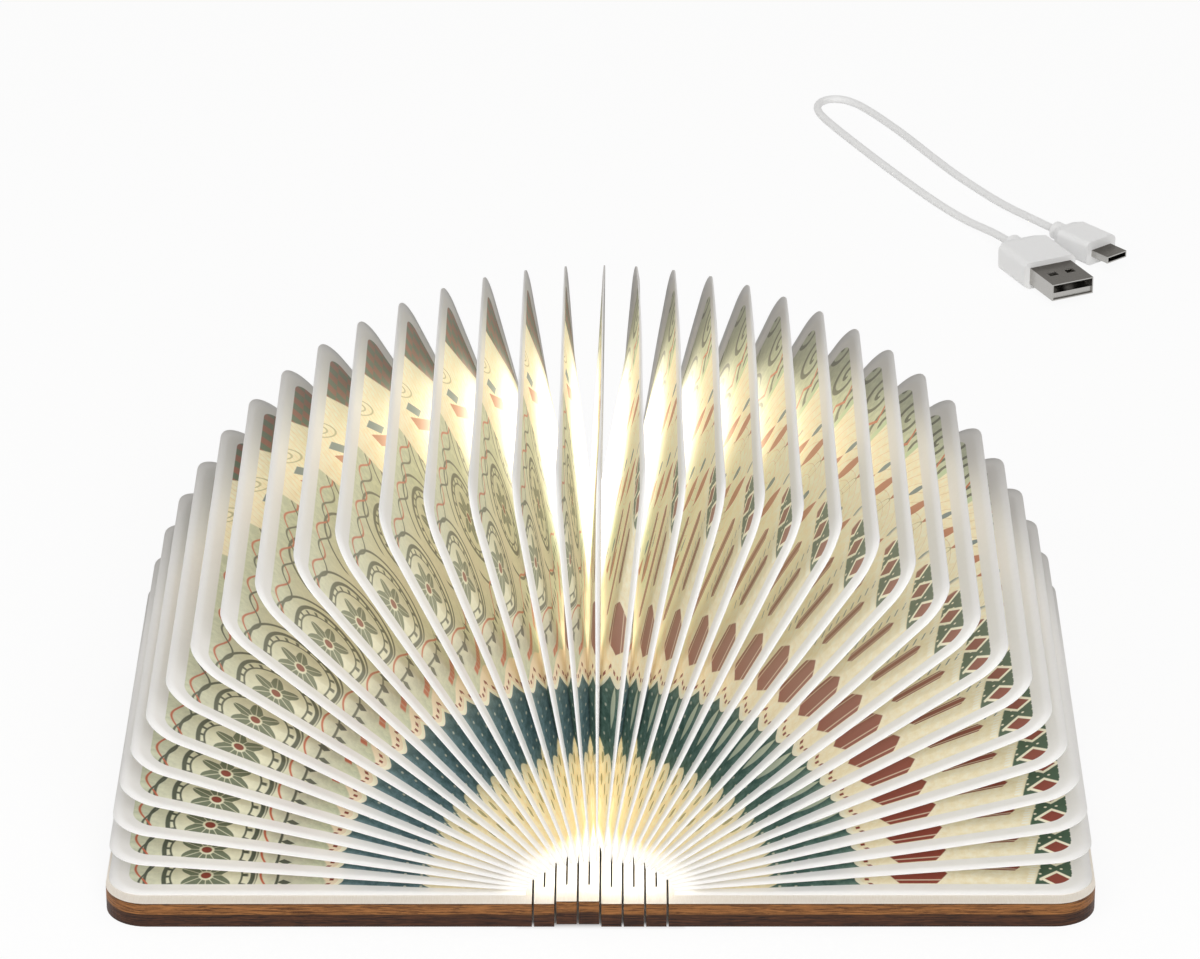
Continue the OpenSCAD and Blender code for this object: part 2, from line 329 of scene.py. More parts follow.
def combined(tree, operation, first, second):
    """One number from two, each of them a socket or a plain number."""
    node = tree.nodes.new("ShaderNodeMath")
    node.operation = operation
    for slot, value in zip(node.inputs, (first, second)):
        if isinstance(value, float):
            slot.default_value = value
        else:
            tree.links.new(value, slot)
    return node.outputs[0]


def seen_directly(tree):
    """1 where the camera, or a mirror or glass, looks at a surface."""
    path = tree.nodes.new("ShaderNodeLightPath")
    through = combined(tree, "MAXIMUM", path.outputs["Is Glossy Ray"], path.outputs["Is Transmission Ray"])
    return combined(tree, "MAXIMUM", path.outputs["Is Camera Ray"], through)


def past_spine(tree):
    """0 on the floor under the spine, 1 from just outside it."""
    coords = tree.nodes.new("ShaderNodeTexCoord")
    inside = tree.nodes.new("ShaderNodeVectorMath")
    inside.operation = "ABSOLUTE"
    tree.links.new(coords.outputs["Object"], inside.inputs[0])
    sides = tree.nodes.new("ShaderNodeSeparateXYZ")
    tree.links.new(inside.outputs[0], sides.inputs[0])
    past = []
    for side, half_size in ((0, STRIP_COUNT * STRIP_PITCH / 2 + 3), (1, COVER_H / 2)):
        edge = tree.nodes.new("ShaderNodeMapRange")
        edge.inputs["From Min"].default_value = (half_size - 2) * MM
        edge.inputs["From Max"].default_value = (half_size + 1) * MM
        tree.links.new(sides.outputs[side], edge.inputs["Value"])
        past.append(edge.outputs["Result"])
    return combined(tree, "MAXIMUM", *past)


def mix_shaders(tree, share, first, second, out_kind):
    """The first shader where share is 0 and the second where it is 1, led to the output."""
    mix = tree.nodes.new("ShaderNodeMixShader")
    tree.links.new(share, mix.inputs[0])
    tree.links.new(first.outputs[0], mix.inputs[1])
    tree.links.new(second.outputs[0], mix.inputs[2])
    out = tree.nodes.new(out_kind)
    tree.links.new(mix.outputs[0], out.inputs[0])


def make_floor():
    mesh = bpy.data.meshes.new("floor")
    corners = [(-1, -1), (1, -1), (1, 1), (-1, 1)]
    mesh.from_pydata([(x * FLOOR_HALF, y * FLOOR_HALF, 0) for x, y in corners], [], [(0, 1, 2, 3)])
    floor = make_object("floor", mesh)
    floor.location.z = -FLOOR_DROP
    material = bpy.data.materials.new("floor_white")
    material.use_nodes = True
    tree = material.node_tree
    tree.nodes.clear()
    lit = tree.nodes.new("ShaderNodeBsdfDiffuse")
    lit.inputs["Color"].default_value = FLOOR_GREY
    plain = tree.nodes.new("ShaderNodeEmission")
    plain.inputs["Color"].default_value = WHITE
    plain.inputs["Strength"].default_value = FLOOR_WHITENESS
    whitened = combined(tree, "MULTIPLY", past_spine(tree), WHITE_SHARE)
    share = combined(tree, "MULTIPLY", seen_directly(tree), whitened)
    mix_shaders(tree, share, lit, plain, "ShaderNodeOutputMaterial")
    mesh.materials.append(material)


def make_world():
    world = bpy.data.worlds.new("studio")
    bpy.context.scene.world = world
    world.use_nodes = True
    tree = world.node_tree
    tree.nodes.clear()
    shown = tree.nodes.new("ShaderNodeBackground")
    shown.inputs["Color"].default_value = WHITE
    soft = tree.nodes.new("ShaderNodeBackground")
    soft.inputs["Color"].default_value = SOFT_WHITE
    soft.inputs["Strength"].default_value = SOFT_STRENGTH
    mix_shaders(tree, seen_directly(tree), soft, shown, "ShaderNodeOutputWorld")


def make_lamp(name, place, size, power):
    data = bpy.data.lights.new(name, "AREA")
    data.size = size
    data.energy = power
    lamp = make_object(name, data)
    lamp.location = place
    aim = Vector(LAMP_AIM) - Vector(place)
    lamp.rotation_euler = aim.to_track_quat("-Z", "Y").to_euler()


make_camera()
make_floor()
make_world()
for lamp in LAMPS:
    make_lamp(*lamp)

bpy.context.scene.view_settings.view_transform = "Standard"


# Charging cable
JACKET_WHITE = (0.90, 0.90, 0.90)
JACKET_TONES = ((0.85, 0.85, 0.85), (0.89, 0.89, 0.89))
PLUG_WHITE = (0.92, 0.92, 0.92)
PLUG_TONES = ((0.86, 0.86, 0.86), PLUG_WHITE)
STEEL = (0.75, 0.75, 0.77)
STEEL_SIDE_TONES = ((0.40, 0.39, 0.37), (0.52, 0.51, 0.49))
PAINTED_REFLECTION_TOP_TONES = ((0.075, 0.068, 0.058), (0.12, 0.11, 0.095))


def paint_cable():
    paint = Paint("cable_jacket_white", roughness=0.42, color=JACKET_WHITE)
    x, y, z = paint.place()
    grain = paint.noise(paint.joined(x, y, z), 1.2, detail=2)
    paint.use_color(paint.mixed(grain, *JACKET_TONES))
    paint.use_bump(grain, 0.00001, 0.3)
    return paint.material


def paint_plug():
    paint = Paint("plug_plastic_white", roughness=0.35, color=PLUG_WHITE)
    x, y, z = paint.place()
    grain = paint.noise(paint.joined(x, y, z), 6.0, detail=3)
    paint.use_color(paint.mixed(grain, *PLUG_TONES))
    paint.use_bump(grain, 0.00004, 0.5)
    return paint.material


def paint_steel():
    """Satin steel with a painted reflection: its upward faces are coloured darker than its sides, standing
    in for the dark room above that they would mirror.
    """
    paint = Paint("plug_steel_satin", roughness=0.3, color=STEEL, metallic=1.0)
    x, y, z = paint.place()
    grain = paint.noise(paint.joined(x * 0.4, y * 4, z * 4), 4.0, detail=4)
    paint.use_roughness(grain * 0.2 + 0.2)
    _, _, up = paint.facing()
    side = paint.mixed(grain, *STEEL_SIDE_TONES)
    # Painted reflection: the upward faces take the darker tones.
    painted_reflection_top = paint.mixed(grain, *PAINTED_REFLECTION_TOP_TONES)
    paint.use_color(paint.mixed(up.ramp(0.3, 0.8), side, painted_reflection_top))
    return paint.material


def dress(node, material):
    """Gives a CAD node its only material."""
    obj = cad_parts[node]
    obj.data.materials.clear()
    obj.data.materials.append(material)


def make_cable():
    curve = bpy.data.curves.new("cable", "CURVE")
    curve.dimensions = "3D"
    spline = curve.splines.new("NURBS")
    spline.points.add(len(CABLE_ROUTE) - 1)
    for point, (x, y, z) in zip(spline.points, CABLE_ROUTE):
        point.co = (x * MM, y * MM, z * MM, 1)
    spline.use_endpoint_u = True
    spline.order_u = 4
    spline.resolution_u = 6
    curve.bevel_depth = CABLE_D / 2 * MM
    curve.bevel_resolution = 6
    curve.use_fill_caps = True
    cable = make_object("cable", curve)
    curve.materials.append(paint_cable())
    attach(cable, "spine")
    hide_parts("charging_cable")
    plastic = paint_plug()
    for node in ("usb_a_grip", "micro_usb_grip"):
        dress(node, plastic)
    steel = paint_steel()
    for node in ("usb_a_shell", "micro_usb_shell", "charging_socket"):
        dress(node, steel)


make_cable()


# Wood
WALNUT_DARK = (0.085, 0.038, 0.016)
WALNUT_MID = (0.235, 0.115, 0.048)
WALNUT_GOLD = (0.42, 0.215, 0.085)
BIRCH = (0.88, 0.83, 0.76)
BIRCH_SHADE = (0.80, 0.73, 0.64)
CHAR = (0.022, 0.011, 0.006)
LOW_EDGE_TONES = ((0.013, 0.005, 0.003), (0.090, 0.034, 0.015))
HIGH_EDGE_TONES = ((0.045, 0.015, 0.005), (0.36, 0.15, 0.045))
WARM_WHITE = (1.0, 0.955, 0.86)
PAINTED_SPINE_GLOW = 0.9
SEAM_HALF_T = 0.16
ARRIS_W = 0.35


def paint_wood(name, lift=0.0):
    """Laminated board: burnt, two-layer edges, a pale inner face with a painted glow at the spine, a
    grained outer face.
    """
    paint = Paint(name, roughness=0.55)
    paint.shader.inputs["Specular IOR Level"].default_value = 0.25
    x, y, z = paint.place()
    _, _, up = paint.facing()
    height = z - lift
    figure = paint.wave(paint.joined(x, y * 0.09, z), 0.034, 7.0, 3.0)
    fibre = paint.noise(paint.joined(x, y * 0.045, z), 1.2, detail=6, roughness=0.7)
    pores = paint.noise(paint.joined(x * 2.6, y * 0.16, z * 2.6), 1.0, detail=2).ramp(0.60, 0.68)
    fine = paint.noise(paint.joined(x * 4, y * 0.25, z * 4), 2.2, detail=6, roughness=0.7)
    blotch = paint.noise(paint.joined(x, y, z), 0.16, detail=3)
    edge_place = paint.joined(x * 0.11, y * 0.11, z * 2.4)
    streak = paint.noise(edge_place, 1.6, detail=7, roughness=0.75, distortion=0.6)
    upper = height.ramp(2.4, 3.1)
    low_tone = paint.mixed(streak.ramp(0.38, 0.64), *LOW_EDGE_TONES)
    high_tone = paint.mixed(streak.ramp(0.36, 0.62), *HIGH_EDGE_TONES)
    edge = paint.mixed(upper, low_tone, high_tone)
    from_middle = (height - BOARD_T / 2).abs()
    seam = from_middle.below(SEAM_HALF_T, 0.14)
    edge = paint.mixed(seam * 0.75, edge, CHAR)
    arris = from_middle.ramp(BOARD_T / 2 - ARRIS_W, BOARD_T / 2)
    edge = paint.mixed(arris * 0.75, edge, CHAR)
    grain = figure.ramp(0.1, 0.9) * 0.4 + fibre.ramp(0.32, 0.68) * 0.6
    outer = paint.mixed(grain, WALNUT_DARK, WALNUT_GOLD)
    outer = paint.mixed(blotch.ramp(0.35, 0.7) * 0.35, outer, WALNUT_MID)
    outer = paint.mixed(pores * 0.6, outer, CHAR)
    inner = paint.mixed(fine.ramp(0.3, 0.7), BIRCH_SHADE, BIRCH)
    face = paint.mixed(up.ramp(-0.2, 0.2), outer, inner)
    side = up.abs().below(0.5, 0.1)
    paint.use_color(paint.mixed(side, face, edge))
    paint.use_bump(fine * 0.6 + streak * 0.4, 0.00012, 0.6)
    paint.use_roughness(fine * 0.25 + 0.42)
    # Painted glow: the upward faces near the spine get emission standing in for the light bar's light.
    lit = x.abs().ramp(18, 9) * y.abs().ramp(COVER_H / 2, 50) * up.ramp(0.2, 0.8)
    paint.use_glow(WARM_WHITE, lit * PAINTED_SPINE_GLOW)
    return paint.material


def make_wood():
    board = paint_wood("cover_walnut")
    raised = paint_wood("spine_walnut_raised", lift=STRIP_LIFT)
    for node in ("left_cover", "right_cover"):
        dress(node, board)
    for i in range(1, STRIP_COUNT + 1):
        dress(f"hinge_strip_{i}", raised if i in RAISED_STRIPS else board)


make_wood()


# Light bar and magnets
CHIP_LIGHT = (1.0, 0.86, 0.55)
CHIP_GLOW = 6.0
FROST_GLOW = 9.0
NICKEL_TONES = ((0.55, 0.54, 0.52), (0.75, 0.74, 0.72))
# Finish, its two tones, grain scale, roughness, metallic and the nodes that have it
PLAIN_FINISHES = (
    ("bar_white", (0.86, 0.86, 0.85), (0.92, 0.92, 0.91), 1.2, 0.45, 0.0, ("light_bar_tray",)),
    ("cell_foil", (0.62, 0.63, 0.66), (0.8, 0.81, 0.83), 2.0, 0.35, 0.9, ("battery_cell",)),
    ("board_green", (0.02, 0.12, 0.05), (0.04, 0.2, 0.09), 1.5, 0.4, 0.0, ("control_board",)),
    ("board_white", (0.86, 0.86, 0.84), (0.92, 0.92, 0.9), 1.5, 0.4, 0.0, ("led_board",)),
    ("chip_yellow", (0.85, 0.7, 0.25), (0.95, 0.82, 0.4), 3.0, 0.3, 0.0, ("led_chips",)),
    ("frosted_white", (0.93, 0.92, 0.88), (0.97, 0.96, 0.93), 2.0, 0.5, 0.0, ("diffuser",)),
    ("magnet_nickel", *NICKEL_TONES, 3.0, 0.25, 1.0, ("magnets_left", "magnets_right")))
GLOWS = {"chip_yellow": (CHIP_LIGHT, CHIP_GLOW), "frosted_white": (WARM_WHITE, FROST_GLOW)}


def make_light_bar():
    for name, low, high, scale, roughness, metallic, nodes in PLAIN_FINISHES:
        paint = Paint(name, roughness=roughness, metallic=metallic)
        x, y, z = paint.place()
        grain = paint.noise(paint.joined(x, y, z), scale, detail=4)
        paint.use_color(paint.mixed(grain.ramp(0.3, 0.7), low, high))
        paint.use_bump(grain, 0.00003, 0.6)
        if name in GLOWS:
            paint.use_glow(*GLOWS[name])
        for node in nodes:
            dress(node, paint.material)


make_light_bar()


# Pages
def fan(i):
    """The angle of page i from the left cover, in radians."""
    turn = math.pi * i / (PAGE_COUNT - 1)
    return math.radians(math.degrees(turn) + FAN_LEAN * math.sin(turn)
                        - FAN_GATHER * math.sin(3 * turn) - FAN_RIPPLE * math.sin(4 * turn))


def root(i):
    """Where page i starts, on the flat arch over the spine, as x and z."""
    share = 0 if i == 0 else 1 if i == PAGE_COUNT - 1 else (i + 0.5) / PAGE_COUNT
    turn = math.pi * share
    return (-ROOT_HALF_W * math.cos(turn), BOARD_T + PAGE_T / 2 + ROOT_RISE * math.sin(turn))


def out_from(place, turn, reach, along, off):
    """A point on a page: reach from its root, along the spine, and off its plane."""
    return Vector((place[0] - reach * math.cos(turn) + off * math.sin(turn), along,
                   place[1] + reach * math.sin(turn) + off * math.cos(turn)))


SHEET_ROWS = 12     # from the outer edge to the fold, and RIM_ROWS of them are the glued rim
RIM_ROWS = 2
EDGE_STEPS = (14, 9, 30, 9, 14)     # up the near end, a corner, across, a corner, down the far end
PAPER_T = 0.1
FOLD_PARTS = ("X", "Z", "Turn", "Off")
MIDDLE_FOLD = 0.06      # the fold between the two stacks lies near the left one's last page
NEAR_CURL = 0.85
LEFT_FAR_CURL = 0.4
RIGHT_FAR_CURL = 1.2
RIM_TAPER = 1.9
TAPER_FROM = 8
TAPER_TO = 46


class PageShape(NodeWork):
    """The Geometry Nodes tree of a page: a grid bent into two sheets that meet along its outer edge."""

    SIZES = (("Page Length", PAGE_L), ("Half Height", PAGE_H / 2), ("Page Corner", PAGE_CORNER_R),
             ("Rim Width", RIM_W), ("Rim Taper", RIM_TAPER), ("Page Thickness", PAGE_T),
             ("Valley Reach", VALLEY_R), ("Gable Depth", GABLE_DEPTH), ("Valley Corner", VALLEY_CORNER_R),
             ("Near Curl", NEAR_CURL), ("Far Curl", RIGHT_FAR_CURL))
    PLACES = ("Root X", "Root Z", "Turn", "Curl Side",
              *(f"{side} Fold {part}" for side in ("Left", "Right") for part in FOLD_PARTS))

    def __init__(self, left_side, right_side):
        self.tree = bpy.data.node_groups.new("page_shape", "GeometryNodeTree")
        self.slots = {}
        for name, value in (*self.SIZES, *((place, 0.0) for place in self.PLACES)):
            slot = self.tree.interface.new_socket(name, in_out="INPUT", socket_type="NodeSocketFloat")
            slot.default_value = value
            self.slots[name] = slot.identifier
        self.tree.interface.new_socket("Geometry", in_out="OUTPUT", socket_type="NodeSocketGeometry")
        self.given = self.tree.nodes.new("NodeGroupInput")
        self.build(left_side, right_side)

    def size(self, name):
        return Field(self, self.given.outputs[name])

    def node(self, kind, **slots):
        made = self.tree.nodes.new(kind)
        for name, value in slots.items():
            self.feed(made.inputs[name.replace("_", " ")], value)
        return made

    @staticmethod
    def edge_line(steps, reach, half, radius):
        """A line up the near end, along the outer edge and down the far end, as reach and along."""
        up, near_turn, across, far_turn, down = steps
        quarter = math.pi / 2
        straight = reach - radius
        out = straight * up + radius * (near_turn * quarter).sin()
        out = out - radius * (1 - (far_turn * quarter).cos()) - straight * down
        along = radius * (1 - (near_turn * quarter).cos()) - half
        along = along + (half - radius) * 2 * across + radius * (far_turn * quarter).sin()
        return out, along

    @staticmethod
    def out_from(root_x, root_z, turn, reach, off):
        """Where a page's point lies across the spine, as x and z."""
        x = root_x - reach * turn.cos() + off * turn.sin()
        z = root_z + reach * turn.sin() + off * turn.cos()
        return x, z

    def build(self, left_side, right_side):
        columns = sum(EDGE_STEPS) + 1
        sheet = SHEET_ROWS
        grid = self.node("GeometryNodeMeshGrid", Vertices_X=2 * sheet, Vertices_Y=columns)
        index = Field(self, self.node("GeometryNodeInputIndex").outputs[0])
        row = ((index + 0.5) / columns).floor()
        column = index - row * columns
        on_right = row.ramp(sheet - 0.6, sheet - 0.4, "LINEAR")
        depth = (row - (sheet - 0.5)).abs() - 0.5
        rim_share = (1 - depth / RIM_ROWS).most(0)
        fold_share = ((depth - RIM_ROWS) / (sheet - 1 - RIM_ROWS)).most(0)
        steps, start = [], 0
        for count in EDGE_STEPS:
            steps.append(column.ramp(start, start + count, "LINEAR"))
            start += count
        half, rim_w = self.size("Half Height"), self.size("Rim Width")
        page_l, corner = self.size("Page Length"), self.size("Page Corner")
        edge_reach, edge_along = self.edge_line(steps, page_l, half, corner)
        rim_reach, rim_along = self.edge_line(steps, page_l - rim_w, half - rim_w, corner - rim_w / 2)
        narrower = rim_reach.ramp(TAPER_TO, TAPER_FROM) * self.size("Rim Taper")
        rim_along = rim_along + rim_along.made("SIGN") * narrower
        reach, along = rim_reach.toward(edge_reach, rim_share), rim_along.toward(edge_along, rim_share)
        far = (along / half).least(1).most(-1)
        near_amount = self.size("Near Curl") * (reach.ramp(8, 66, "LINEAR") * 0.9 + 0.1)
        far_amount = self.size("Far Curl") * reach.ramp(0, 70, "LINEAR")
        amount = near_amount.toward(far_amount, far.ramp(-0.001, 0.001))
        curl = self.size("Curl Side") * amount * far * far.abs() * -1
        side = on_right * 2 - 1
        off = side * self.size("Page Thickness") / 2 + curl * rim_share ** 1.5
        x, z = self.out_from(self.size("Root X"), self.size("Root Z"), self.size("Turn"), reach, off)
        fold_half, fold_corner = half - self.size("Gable Depth"), self.size("Valley Corner")
        fold_reach, fold_along = self.edge_line(steps, self.size("Valley Reach"), fold_half, fold_corner)
        fold = [self.size(f"Left Fold {part}").toward(self.size(f"Right Fold {part}"), on_right)
                for part in FOLD_PARTS]
        fold_x, fold_z = self.out_from(fold[0], fold[1], fold[2], fold_reach, fold[3])
        place = self.joined(x.toward(fold_x, fold_share) * MM, along.toward(fold_along, fold_share) * MM,
                            z.toward(fold_z, fold_share) * MM)
        moved = self.node("GeometryNodeSetPosition", Geometry=grid.outputs["Mesh"], Position=place)
        on_page = self.node("GeometryNodeFieldOnDomain")
        on_page.data_type = "FLOAT_VECTOR"
        on_page.domain = "POINT"
        self.feed(on_page.inputs[0], self.joined(reach.toward(fold_reach, fold_share) / REACH_SPAN,
                                                 along.toward(fold_along, fold_share) / ALONG_SPAN + 0.5))
        marked = self.tree.nodes.new("GeometryNodeStoreNamedAttribute")
        marked.data_type = "FLOAT2"
        marked.domain = "CORNER"
        self.feed(marked.inputs["Geometry"], moved.outputs[0])
        self.feed(marked.inputs["Name"], "page")
        self.feed(marked.inputs["Value"], on_page.outputs[0])
        smooth = self.node("GeometryNodeSetShadeSmooth", Geometry=marked.outputs[0])
        plain = self.node("GeometryNodeRealizeInstances", Geometry=smooth.outputs[0])
        left_faces = index.made("LESS_THAN", sheet * (columns - 1))
        printed = self.node("GeometryNodeSetMaterial", Geometry=plain.outputs[0], Material=right_side)
        printed = self.node("GeometryNodeSetMaterial", Geometry=printed.outputs[0], Material=left_side,
                            Selection=left_faces)
        out = self.tree.nodes.new("NodeGroupOutput")
        self.feed(out.inputs[0], printed.outputs[0])

    def page(self, i, name):
        """Page i as a plain mesh of two glued sheets, each with its own thickness."""
        own, turn = root(i), fan(i)
        values = {"Root X": own[0], "Root Z": own[1], "Turn": turn}
        values["Curl Side"] = math.sin(turn) ** 4 * (-1 if i < LEFT_PAGES else 1)
        values["Far Curl"] = LEFT_FAR_CURL if i < LEFT_PAGES else RIGHT_FAR_CURL
        for side, word in ((-1, "Left"), (1, "Right")):
            j = i + side
            if 0 <= j < PAGE_COUNT:
                share = 0.5
                if {i, j} == {LEFT_PAGES - 1, LEFT_PAGES}:
                    share = MIDDLE_FOLD if side > 0 else 1 - MIDDLE_FOLD
                fold = [a + (b - a) * share for a, b in zip((*own, turn), (*root(j), fan(j)))] + [0]
            else:
                fold = [*own, turn, side * PAGE_T / 2]
            values.update(zip((f"{word} Fold {part}" for part in FOLD_PARTS), fold))
        page = make_object(name, bpy.data.meshes.new(name))
        shape = page.modifiers.new("page_shape", "NODES")
        shape.node_group = self.tree
        for place, value in values.items():
            shape[self.slots[place]] = float(value)
        paper = page.modifiers.new("paper", "SOLIDIFY")
        paper.thickness = PAPER_T * MM
        paper.offset = -1
        bpy.context.view_layer.update()
        graph = bpy.context.evaluated_depsgraph_get()
        solid = bpy.data.meshes.new_from_object(page.evaluated_get(graph))
        page.modifiers.clear()
        page.data = solid
        return page


def disc(u, v, at_u, at_v, radius, soft=0.3):
    """1 inside a round spot, in the fields' own units."""
    return distance(u, v, at_u, at_v).below(radius, soft)


def distance(u, v, at_u=0.0, at_v=0.0):
    """How far the point u, v lies from the given one."""
    du, dv = u - at_u, v - at_v
    return (du * du + dv * dv).root()


def band(field, low, high, soft=0.25):
    """1 between low and high."""
    return field.ramp(low - soft, low + soft) * field.ramp(high + soft, high - soft)


def line(field, half_width, soft=0.15):
    """1 along the curve on which the field is 0."""
    return field.abs().below(half_width, soft)


def repeated(field, pitch, shift=0.0):
    """The field folded into repeats, each from -pitch / 2 to pitch / 2."""
    return ((field + shift) / pitch).frac() * pitch - pitch / 2


def diamond(u, v, half_u, half_v, soft=0.12):
    """1 inside a diamond of these half diagonals."""
    return (u.abs() / half_u + v.abs() / half_v).below(1.0, soft)


def leaf(u, v, half_length, half_width, soft=0.1):
    """A lens along u."""
    width = 1 - (u / half_length) * (u / half_length)
    return (v.abs() / half_width - width).below(0.0, soft) * u.abs().below(half_length, 0.1)


# Colours of the generic print
TEAL_BLUE = (0.062, 0.120, 0.135)
TEAL_BLUE_LIGHT = (0.17, 0.27, 0.30)
TEAL_GREEN = (0.050, 0.110, 0.090)
TEAL_GREEN_LIGHT = (0.15, 0.25, 0.21)
OLIVE_DARK = (0.085, 0.100, 0.072)
PETAL_OLIVE = (0.15, 0.18, 0.12)
SAGE = (0.44, 0.49, 0.36)
SAGE_PALE = (0.62, 0.66, 0.50)
STRAW = (0.84, 0.745, 0.51)
CREAM = (0.92, 0.87, 0.70)
BLUSH = (0.84, 0.72, 0.56)
BRICK = (0.25, 0.052, 0.034)
BRICK_LIT = (0.46, 0.150, 0.080)
CORAL = (0.52, 0.135, 0.070)
SLATE = (0.13, 0.20, 0.24)
BUD_OLIVE = (0.24, 0.24, 0.09)
LEAF_GREEN = (0.055, 0.105, 0.065)
MINT = (0.50, 0.62, 0.42)
HAIR_TAN = (0.50, 0.36, 0.16)
RING_TAN = (0.46, 0.33, 0.15)
FRINGE_CREAM = (0.93, 0.92, 0.84)
PAINTED_GLARE_WHITE = (1.0, 0.99, 0.955)
TIP_SHADE = (0.16, 0.15, 0.125)
RIM_WHITE = (0.93, 0.92, 0.905)
RIM_SHADE = (0.88, 0.87, 0.855)
PAINTED_RIM_TIP_SHADE = (0.42, 0.40, 0.37)
LAMP_WARM = (1.0, 0.97, 0.90)

# Places on the print, in millimetres from the root and along the spine
PRINT_HALF = 53
PRINT_CORNER_R = 4.5
ROSETTE_REACH = 67.5
ROSETTE_PITCH = 27
PETALS = 6
GEM_REACH = 51.5
SLANT_REACH = 47.2
SLANT_PITCH = 13
LEAF_PITCH = 21
LEAF_ROW = 10.5
BORDER_REACH = 75.8
BORDER_GEM_REACH = 80.6
BORDER_GEM_PITCH = 8.6
SCROLL_PITCH = 15
# The light that shines through: its half length, its height and the distance at which it is 1
LIGHT_HALF_L = 34
LIGHT_Z = 8
LIGHT_REACH = 40
# Where the light fades over the paper: from the root, toward the near end and toward the far end
HOT_FADE = (81, 50)
NEAR_FADE = (-16, 20)
FAR_FADE = (51, 37)
# Painted glow of the paper near the light, in the hot middle, at the root and everywhere
GLOW_BY_LIGHT = 0.40
GLOW_HOT = 0.95
GLOW_ROOT = 0.35
GLOW_EVEN = 0.10
# Reach of both ends, place along the spine and half width of the notched bars
NOTCHED_BARS = ((45, 57.5, -50.2, 2.9), (60, 73, -47.0, 1.5), (47, 74, -36.5, 1.9), (50, 66, -24, 1.5))
# Reach, start and colour of the wavy lines
WAVY_LINES = ((81.0, 0.0, CORAL), (54.4, 1.3, CORAL), (80.0, 2.2, OLIVE_DARK))
# Low and high end of the teal band on the sheets that face right and left
TEAL_BAND_RIGHT = (19.5, 42.0)
TEAL_BAND_LEFT = (19.0, 41.5)


def draw_inner_zones(paint, reach, along, speck, ground, teal_band, teals):
    """Straw near the spine, then a deep teal band with a scalloped edge and a cream border."""
    band_low, band_high = teal_band
    wave = (along * 0.45).sin().abs() * 3.0
    lean = (along.abs() - PRINT_HALF) * -0.35
    inner_edge = reach - (wave + lean + band_low)
    outer_edge = reach - (band_high - wave - lean * 1.4)
    teal = paint.mixed(speck.ramp(0.3, 0.75), *teals)
    dots = disc(repeated(along, 3.1), repeated(reach, 3.4), 0, 0, 0.32, 0.15)
    teal = paint.mixed(dots * 0.6, teal, CREAM)
    straw = paint.mixed(speck.ramp(0.35, 0.7), STRAW, CREAM)
    buds = leaf(repeated(reach - along * 0.4, 5.2), repeated(along, 2.6), 1.5, 0.55)
    straw = paint.mixed(buds * reach.ramp(9, 12) * 0.7, straw, BUD_OLIVE)
    color = paint.mixed(outer_edge.ramp(-0.15, 0.15), teal, ground)
    color = paint.mixed(band(outer_edge, 0.0, 1.1, 0.12), color, CREAM)
    dashes = band(outer_edge, 2.0, 2.9, 0.12) * repeated(along, 1.5).abs().below(0.36, 0.1)
    color = paint.mixed(dashes, color, BRICK)
    return paint.mixed(inner_edge.ramp(0.2, -0.2), color, straw)


def draw_right_facing(paint, reach, along, speck):
    """Sage with large ringed rosettes, a row of small diamonds and slanted coral bars."""
    color = paint.mixed(speck.ramp(0.3, 0.7), SAGE, SAGE_PALE)
    # Painted glow: a cream patch standing in for light on the sage.
    painted_glow_patch = distance(reach, along * 0.6, 66, -26).ramp(26, 4) * 0.55
    color = paint.mixed(painted_glow_patch, color, CREAM)
    u, v = reach - ROSETTE_REACH, repeated(along, ROSETTE_PITCH, 10.0)
    out = distance(u, v)
    angle = u.made("ARCTAN2", v)
    petals = (out - (4.6 + (angle * PETALS).cos() * 1.3)).below(0.0, 0.2) * (out - 1.6).ramp(-0.2, 0.2)
    veins = line((angle * PETALS).sin() * out * 0.3, 0.2)
    color = paint.mixed(line(out - (9.4 + (angle * 3).sin() * 0.5), 0.5), color, OLIVE_DARK)
    color = paint.mixed(line(out - 7.6, 0.22), color, OLIVE_DARK)
    spokes = band(out, 7.6, 8.9) * repeated(angle, 0.35).abs().below(0.05, 0.02)
    color = paint.mixed(spokes, color, OLIVE_DARK)
    color = paint.mixed(petals * (1 - veins * 0.7), color, PETAL_OLIVE)
    color = paint.mixed(out.below(1.1, 0.15), color, BRICK)
    spiral = line(repeated(out - angle * 0.75, 4.7), 0.34) * band(out, 10.6, 15.5)
    color = paint.mixed(spiral * v.abs().below(12.8, 0.2), color, OLIVE_DARK)
    for wavy_reach, start, tint in WAVY_LINES:
        wavy = reach - wavy_reach - (along * 0.37 + start).sin() * 1.6
        color = paint.mixed(line(wavy, 0.26), color, tint)
    gems = diamond(reach - GEM_REACH - (along * 0.25).sin(), repeated(along, 3.4), 1.5, 0.85)
    color = paint.mixed(gems, color, OLIVE_DARK)
    across_bar = repeated(along, SLANT_PITCH)
    bars = line(reach - SLANT_REACH - across_bar * 0.32, 0.85) * across_bar.abs().below(4.6, 0.15)
    color = paint.mixed(bars * (1 - line(repeated(along, 1.1), 0.14) * 0.4), color, CORAL)
    blush = (reach - 43.5 - (along * 0.5).sin() * 1.4).below(0.0, 0.3)
    color = paint.mixed(blush, color, BLUSH)
    teals = (TEAL_BLUE, TEAL_BLUE_LIGHT)
    color = draw_inner_zones(paint, reach, along, speck, color, TEAL_BAND_RIGHT, teals)
    slanted = along + reach * 0.25
    far = slanted.ramp(16.6, 17.4)
    return paint.mixed(far, color, draw_far_straw(paint, reach, along, slanted, speck))


